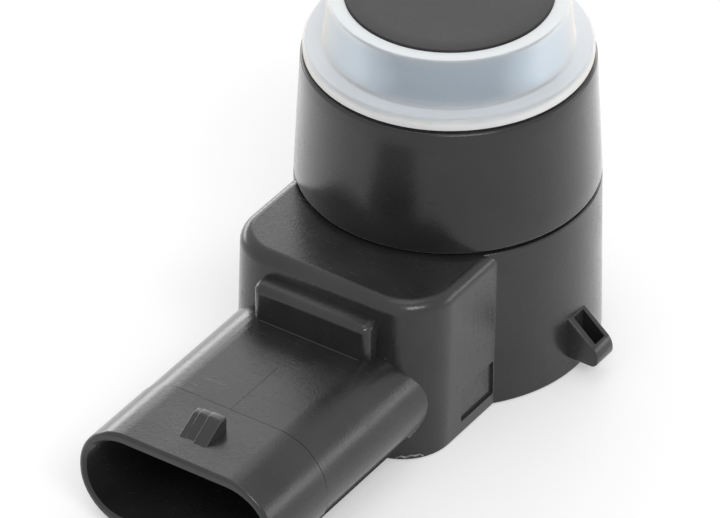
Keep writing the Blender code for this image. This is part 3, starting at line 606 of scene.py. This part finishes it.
def make_cup(material):
    """The drawn metal cup whose flat base is the sensing face."""
    bore = MEMBRANE_RADIUS - CUP_WALL
    rim_radius, rim_top = MEMBRANE_RADIUS + CUP_RIM_PROUD, CUP_BOTTOM + CUP_RIM_HEIGHT
    ceiling = SENSOR_TOP - MEMBRANE_THICKNESS
    piece = turned("sensing_cup", [
        (0, SENSOR_TOP, 0), (MEMBRANE_RADIUS, SENSOR_TOP, FACE_EDGE),
        (MEMBRANE_RADIUS, rim_top, SHARED_EDGE), (rim_radius, rim_top, SHARED_EDGE),
        (rim_radius, CUP_BOTTOM, SHARED_EDGE),
        (bore, CUP_BOTTOM, SHARED_EDGE), (bore, ceiling, CUP_CORNER), (0, ceiling, 0)], material)
    return mounted(piece, "grey_painted_metal", "transducer_cup")


# Finishes

class Finish:
    """A Principled material with a small helper for each kind of node it needs."""

    def __init__(self, name, roughness, metallic=0.0, specular=0.5):
        self.material = bpy.data.materials.new(name)
        self.material.use_nodes = True
        self.tree = self.material.node_tree
        self.shader = self.tree.nodes["Principled BSDF"]
        self.shader.inputs["Roughness"].default_value = roughness
        self.shader.inputs["Metallic"].default_value = metallic
        self.shader.inputs["Specular IOR Level"].default_value = specular
        self.place = self.tree.nodes.new("ShaderNodeTexCoord").outputs["Object"]

    def node(self, kind, **values):
        """Adds a node; a value sets an input of that name, or links it when it is a socket."""
        made = self.tree.nodes.new("ShaderNode" + kind)
        for key, value in values.items():
            self.feed(made.inputs[key.replace("_", " ").title() if isinstance(key, str) else key], value)
        return made

    def feed(self, socket, value):
        """Sets an input to a value, or links it when the value is a socket."""
        if isinstance(value, bpy.types.NodeSocket):
            self.tree.links.new(value, socket)
        else:
            socket.default_value = value

    def noise(self, grain, detail=2.0, distortion=0.0):
        """A noise with grains of about the given size in metres."""
        return self.node("TexNoise", Vector=self.place, Scale=1.0 / grain, Detail=detail,
                         Distortion=distortion).outputs["Fac"]

    def streaks(self, stretch):
        """A noise drawn out into streaks, with its grain along X, Y and Z in metres."""
        made = self.tree.nodes.new("ShaderNodeVectorMath")
        made.operation = "DIVIDE"
        self.feed(made.inputs[0], self.place)
        self.feed(made.inputs[1], stretch)
        return self.node("TexNoise", Vector=made.outputs["Vector"], Scale=1.0, Detail=3.0).outputs["Fac"]

    def blend(self, share, low, high, start=0.3, end=0.7):
        """Goes from the low to the high value as the share goes from start to end."""
        ranged = self.node("MapRange", Value=share)
        for key, value in (("From Min", start), ("From Max", end), ("To Min", low), ("To Max", high)):
            self.feed(ranged.inputs[key], value)
        return ranged.outputs["Result"]

    def colours(self, share, *stops):
        """A colour ramp of (position, colour) stops."""
        ramp = self.node("ValToRGB", Fac=share)
        elements = ramp.color_ramp.elements
        while len(elements) < len(stops):
            elements.new(0.5)
        for element, (position, colour) in zip(elements, stops):
            element.position = position
            element.color = (*colour, 1.0)
        return ramp.outputs["Color"]

    def maths(self, operation, first, second):
        made = self.tree.nodes.new("ShaderNodeMath")
        made.operation = operation
        self.feed(made.inputs[0], first)
        self.feed(made.inputs[1], second)
        return made.outputs[0]

    def plus(self, first, second):
        return self.maths("ADD", first, second)

    def times(self, first, second):
        return self.maths("MULTIPLY", first, second)

    def bump(self, height, depth, strength=1.0):
        """Raises the surface by the height times the depth in metres."""
        made = self.node("Bump", Height=height, Distance=depth, Strength=strength)
        self.feed(self.shader.inputs["Normal"], made.outputs["Normal"])

    def set(self, name, value):
        """Sets or links an input of the shader."""
        self.feed(self.shader.inputs[name], value)


def black_moulding(name, roughness, grey, drawn, specular=0.5, dust=0.0):
    """Black glass-filled nylon: satin, with grain, flow marks, scuffs, fine scratches and a little dust.

    The scratches are drawn out along X, Y and Z by the lengths given.
    """
    finish = Finish(name, roughness, specular=specular)
    flow = finish.noise(5 * MM, 3.0, 0.6)
    fine = finish.noise(0.16 * MM, 3.0)
    scuffs = finish.noise(1.1 * MM, 6.0, 1.5)
    scratches = finish.blend(finish.streaks(drawn), 0.0, 1.0, 0.66, 0.76)
    low, high = (grey * 0.8, grey * 0.8, grey * 0.83), (grey * 1.3, grey * 1.3, grey * 1.4)
    finish.set("Base Color", finish.colours(flow, (0.3, low), (0.7, high)))
    worn = finish.plus(finish.blend(scuffs, 0.0, 0.12, 0.55, 0.75), finish.times(scratches, 0.08))
    finish.set("Roughness", finish.plus(finish.blend(flow, roughness - 0.04, roughness + 0.05), worn))
    relief = finish.plus(finish.times(fine, 0.8), finish.times(scuffs, 0.5))
    finish.bump(finish.plus(relief, finish.times(scratches, -0.4)), 0.017 * MM)
    finish.set("Sheen Weight", dust)
    finish.set("Sheen Roughness", 0.35)
    finish.set("Coat Weight", dust * 0.7)
    finish.set("Coat Roughness", 0.22)
    return finish.material


def painted_face():
    """Satin dark grey paint on the drawn aluminium cup."""
    finish = Finish("grey_painted_metal", 0.42, specular=0.24)
    speck = finish.noise(0.12 * MM, 3.0)
    cloud = finish.noise(4 * MM, 2.0)
    dark, light = (0.022, 0.022, 0.0235), (0.028, 0.028, 0.03)
    finish.set("Base Color", finish.colours(cloud, (0.3, dark), (0.7, light)))
    finish.set("Roughness", finish.blend(speck, 0.38, 0.5))
    finish.bump(speck, 0.008 * MM)
    return finish.material


def milky_silicone():
    """Translucent silicone, clearer in its wall than in its flange, with light and shade painted into its
    colour by height.

    Its outer flange edge and the wall's top are painted nearly white as light, the flange's top grey as
    shade, and the wall bluish as the shade of the cup behind it.
    """
    finish = Finish("milky_silicone", 0.32, specular=0.45)
    apart = finish.node("SeparateXYZ", Vector=finish.place)
    cloud = finish.noise(3 * MM, 2.0)
    height = finish.plus(apart.outputs["Z"], finish.times(cloud, 0.3 * MM))
    share = finish.blend(height, 0.0, 1.0, FLANGE_BOTTOM, SENSOR_TOP + 0.4 * MM)
    # Colours by height: painted light on the flange's edge and the wall's top, painted shade on the
    # flange's top, and the cup's bluish painted shade on the wall.
    finish.set("Base Color", finish.colours(
        share, (0.0, (0.99, 0.99, 0.985)), (0.12, (0.97, 0.97, 0.97)), (0.19, (0.72, 0.745, 0.765)),
        (0.34, (0.75, 0.855, 0.98)), (0.8, (0.75, 0.855, 0.98)), (0.93, (0.86, 0.9, 0.93))))
    facing = finish.node("LayerWeight", Blend=0.5).outputs["Facing"]
    clear = finish.blend(facing, 0.6, 0.0, 0.2, 0.4)
    milk = finish.blend(share, 0.2, 1.0, 0.12, 0.34)
    finish.set("Transmission Weight", finish.times(clear, milk))
    finish.set("Subsurface Weight", 0.4)
    finish.set("IOR", 1.41)
    finish.set("Subsurface Radius", (1.0, 0.8, 0.66))
    finish.set("Subsurface Scale", 0.8 * MM)
    finish.set("Sheen Weight", 1.0)
    finish.set("Sheen Roughness", 0.4)
    finish.set("Sheen Tint", (1.0, 0.88, 0.74, 1.0))
    finish.set("Roughness", finish.blend(finish.noise(6 * MM), 0.29, 0.33))
    finish.bump(finish.noise(1.5 * MM, 2.0), 0.006 * MM)
    return finish.material


def speckled(name, dark, light, roughness, grain, depth, metallic=0.0, specular=0.5):
    """A plain finish with two tones and a fine surface, for the pieces inside."""
    finish = Finish(name, roughness, metallic, specular)
    spots = finish.noise(grain, 4.0)
    finish.set("Base Color", finish.colours(spots, (0.35, dark), (0.65, light)))
    finish.set("Roughness", finish.blend(spots, roughness - 0.06, roughness + 0.08))
    finish.bump(spots, depth)
    return finish.material


def wound_copper():
    """Enamelled wire in turns along the winding's height."""
    finish = Finish("copper_winding", 0.3, 1.0)
    turns = finish.node("TexWave", Vector=finish.place, Scale=1.0 / (1.2 * MM), Distortion=0.4)
    turns.bands_direction = "Z"
    wire = turns.outputs["Fac"]
    finish.set("Base Color", finish.colours(wire, (0.1, (0.32, 0.10, 0.035)), (0.8, (0.75, 0.30, 0.12))))
    finish.bump(wire, 0.05 * MM)
    return finish.material


def solder_mask():
    """Green mask with paler tracks under it."""
    finish = Finish("board_green", 0.28)
    tracks = finish.node("TexBrick", Vector=finish.place, Scale=1.0 / (3 * MM))
    finish.feed(tracks.inputs["Color1"], (0.012, 0.12, 0.05, 1))
    finish.feed(tracks.inputs["Color2"], (0.016, 0.15, 0.065, 1))
    finish.feed(tracks.inputs["Mortar"], (0.03, 0.24, 0.11, 1))
    finish.set("Base Color", tracks.outputs["Color"])
    finish.set("Roughness", finish.blend(finish.noise(0.6 * MM), 0.22, 0.36))
    finish.bump(tracks.outputs["Fac"], 0.01 * MM)
    return finish.material


def finish_inside():
    """Gives each carried-over piece its finish."""
    cover = speckled("cover_black", (0.012, 0.012, 0.012), (0.02, 0.02, 0.02), 0.55, 0.2 * MM, 0.02 * MM)
    resin = speckled("potting_resin", (0.008, 0.008, 0.009), (0.014, 0.014, 0.016), 0.2, 2 * MM, 0.03 * MM)
    rubber = speckled("seal_rubber", (0.012, 0.012, 0.012), (0.02, 0.02, 0.02), 0.7, 0.1 * MM, 0.01 * MM)
    ceramic = speckled("piezo_ceramic", (0.66, 0.62, 0.5), (0.78, 0.75, 0.66), 0.5, 0.2 * MM, 0.01 * MM)
    foam = speckled("damping_foam", (0.05, 0.05, 0.055), (0.16, 0.16, 0.17), 0.9, 0.25 * MM, 0.1 * MM)
    filler = speckled("filler_silicone", (0.62, 0.68, 0.7), (0.74, 0.79, 0.8), 0.35, 2 * MM, 0.02 * MM)
    chip = speckled("chip_black", (0.018, 0.018, 0.02), (0.03, 0.03, 0.032), 0.5, 0.1 * MM, 0.01 * MM)
    tan = speckled("chip_ceramic", (0.4, 0.27, 0.15), (0.52, 0.38, 0.24), 0.4, 0.15 * MM, 0.005 * MM)
    ferrite = speckled("ferrite_grey", (0.06, 0.06, 0.065), (0.11, 0.11, 0.115), 0.6, 0.15 * MM, 0.02 * MM)
    tin = speckled("tinned_brass", (0.62, 0.6, 0.55), (0.8, 0.78, 0.73), 0.24, 0.4 * MM, 0.004 * MM, 1.0)
    can = speckled("capacitor_can", (0.7, 0.69, 0.66), (0.82, 0.8, 0.76), 0.22, 0.6 * MM, 0.004 * MM, 1.0)
    red = speckled("red_insulation", (0.42, 0.02, 0.02), (0.6, 0.04, 0.035), 0.35, 0.3 * MM, 0.006 * MM)
    finishes = {
        "rear_cover": cover, "pin_carrier": cover, "potting_compound": resin, "collar_seal": rubber,
        "lead_wire_earth": rubber, "piezo_disc": ceramic, "damping_pad": foam, "cup_filler": filler,
        "control_chip": chip, "protection_diode": chip, "transformer_core": ferrite,
        "transformer_winding": wound_copper(), "circuit_board": solder_mask(), "storage_capacitor": can,
        "lead_wire_live": red}
    for number in (1, 2, 3):
        finishes["filter_capacitor_%d" % number] = tan
        finishes["resistor_%d" % number] = chip
        finishes["terminal_pin_%d" % number] = tin
    for name, material in finishes.items():
        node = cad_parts[name]
        node.data.materials.clear()
        node.data.materials.append(material)


# Lights, floor and camera, which is fitted to the photograph

LAMP_AIM = Vector((0, -8, 12)) * MM
FLOOR_REACH = 1.5
FLOOR_GAP = 0.02 * MM
CAMERA_PLACE = Vector((233.99, -355.94, 317.16)) * MM
CAMERA_AIM = Vector((-2.86, -7.5, 8.55)) * MM
CAMERA_ROLL = math.radians(-0.075)
CAMERA_LENS = 350.0


def softbox(name, azimuth, elevation, width, height, radiance):
    """A rectangular lamp a metre from the sensor, in the direction that two angles in degrees give."""
    turn, lift = math.radians(azimuth), math.radians(elevation)
    level = math.cos(lift)
    place = LAMP_AIM + Vector((level * math.cos(turn), level * math.sin(turn), math.sin(lift)))
    lamp = bpy.data.lights.new(name, "AREA")
    lamp.shape = "RECTANGLE"
    lamp.size, lamp.size_y = width, height
    lamp.energy = radiance * math.pi * width * height
    thing = bpy.data.objects.new(name, lamp)
    thing.location = place
    thing.rotation_mode = "QUATERNION"
    thing.rotation_quaternion = (LAMP_AIM - place).to_track_quat("-Z", "Y")
    bpy.context.scene.collection.objects.link(thing)


def shown_white(tree, share=1.0):
    """The part of a background that only the camera, glossy and clear rays see."""
    path = tree.nodes.new("ShaderNodeLightPath")
    total = path.outputs["Is Camera Ray"]
    for word in ("Is Glossy Ray", "Is Transmission Ray"):
        most = tree.nodes.new("ShaderNodeMath")
        most.operation = "MAXIMUM"
        tree.links.new(total, most.inputs[0])
        tree.links.new(path.outputs[word], most.inputs[1])
        total = most.outputs[0]
    scaled = tree.nodes.new("ShaderNodeMath")
    scaled.operation = "MULTIPLY"
    tree.links.new(total, scaled.inputs[0])
    scaled.inputs[1].default_value = share
    return scaled.outputs[0]


def make_floor():
    """A plain white sheet that keeps the sensor's shadow."""
    bm = bmesh.new()
    bmesh.ops.create_grid(bm, x_segments=1, y_segments=1, size=FLOOR_REACH,
                          matrix=Matrix.Translation((0, 0, cad_box[0].z - FLOOR_GAP)))
    material = bpy.data.materials.new("white_sheet")
    material.use_nodes = True
    tree = material.node_tree
    shader = tree.nodes["Principled BSDF"]
    shader.inputs["Base Color"].default_value = (0.86, 0.86, 0.86, 1)
    shader.inputs["Roughness"].default_value = 0.9
    shader.inputs["Specular IOR Level"].default_value = 0.1
    shader.inputs["Emission Color"].default_value = (1, 1, 1, 1)
    tree.links.new(shown_white(tree, 0.3), shader.inputs["Emission Strength"])
    floor = finished("floor", bm, material)


def make_world():
    """Even pale light all round, white where the camera sees it."""
    world = bpy.data.worlds.new("studio")
    world.use_nodes = True
    bpy.context.scene.world = world
    tree = world.node_tree
    back = tree.nodes["Background"]
    back.inputs["Color"].default_value = (1, 1, 1, 1)
    level = tree.nodes.new("ShaderNodeMapRange")
    tree.links.new(shown_white(tree), level.inputs["Value"])
    level.inputs["To Min"].default_value = 0.5
    level.inputs["To Max"].default_value = 1.0
    tree.links.new(level.outputs["Result"], back.inputs["Strength"])


def make_camera():
    """A long lens from the front right, 36 degrees above the floor."""
    data = bpy.data.cameras.new("camera")
    data.lens = CAMERA_LENS
    data.sensor_width = 36.0
    data.clip_start, data.clip_end = 0.01, 10.0
    camera = bpy.data.objects.new("camera", data)
    camera.location = CAMERA_PLACE
    camera.rotation_mode = "QUATERNION"
    facing = (CAMERA_AIM - CAMERA_PLACE).to_track_quat("-Z", "Y")
    camera.rotation_quaternion = facing @ Quaternion((0, 0, 1), CAMERA_ROLL)
    bpy.context.scene.collection.objects.link(camera)
    bpy.context.scene.camera = camera


def make_lights():
    """Soft lamps: bright low cards and a window behind and at the sides, a faint top, a key in front."""
    softbox("back_low", 104, 7, 0.95, 0.24, 4.2)
    softbox("left_low", 154, 7, 0.9, 0.26, 3.6)
    softbox("right_low", 40, 8, 0.6, 0.24, 2.1)
    softbox("window", 122, 24, 0.55, 0.3, 2.1)
    softbox("back_high", 120, 45, 0.45, 0.35, 0.7)
    softbox("top", 0, 90, 0.5, 0.5, 1.0)
    softbox("key", 320, 45, 0.5, 0.26, 6.4)


make_camera()
make_lights()
make_world()
make_floor()

moulding = black_moulding("black_moulding", 0.21, 0.019, (2.5 * MM, 0.12 * MM, 2.5 * MM), 0.42, 0.25)
turned_black = black_moulding("collar_black", 0.2, 0.014, (4 * MM, 4 * MM, 0.09 * MM), 0.27, 0.6)
make_housing(moulding)
# The flash's pale colour is a painted highlight along the block's bottom edge.
make_flash(speckled("flash_painted_highlight", (0.2, 0.2, 0.19), (0.5, 0.5, 0.48), 0.4, 0.3 * MM, 0.01 * MM))
make_collar(turned_black)
make_ring(milky_silicone())
make_cup(painted_face())
finish_inside()

bpy.context.scene.view_settings.view_transform = "Standard"
